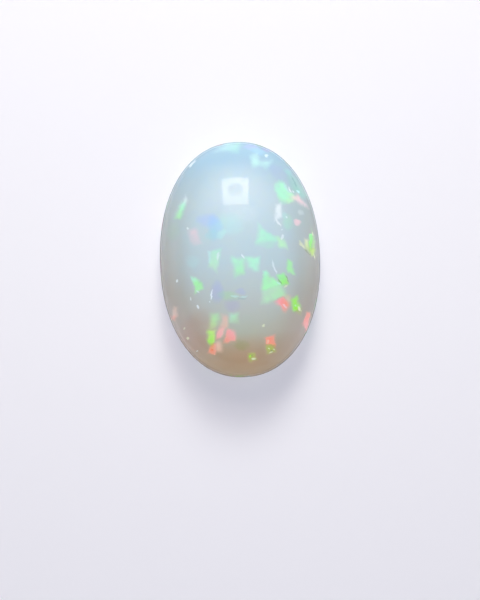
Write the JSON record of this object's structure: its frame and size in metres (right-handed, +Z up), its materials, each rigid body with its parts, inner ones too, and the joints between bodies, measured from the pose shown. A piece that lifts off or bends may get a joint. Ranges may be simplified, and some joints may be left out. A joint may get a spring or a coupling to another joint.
{
  "type": "opal cabochon",
  "caption": "Polished oval opal cabochon: one solid stone with a high dome, a rounded girdle and a rounded back ground flat to rest on, for a bezel setting or a specimen tray.",
  "frame": {"origin": "middle of the flat resting face on the stone's back", "axes": "+Z up to the top of the dome, +Y along the stone's length towards its bluish end, +X across its width"},
  "size_m": [0.01, 0.0148, 0.0052],
  "materials": {
    "opal": "milky translucent precious opal, bluish at one end and warm brown at the other, with green, red and blue flashes under a high polish"
  },
  "bodies": {
    "root": {"opal_cabochon": "opal"}
  },
  "joints": []
}
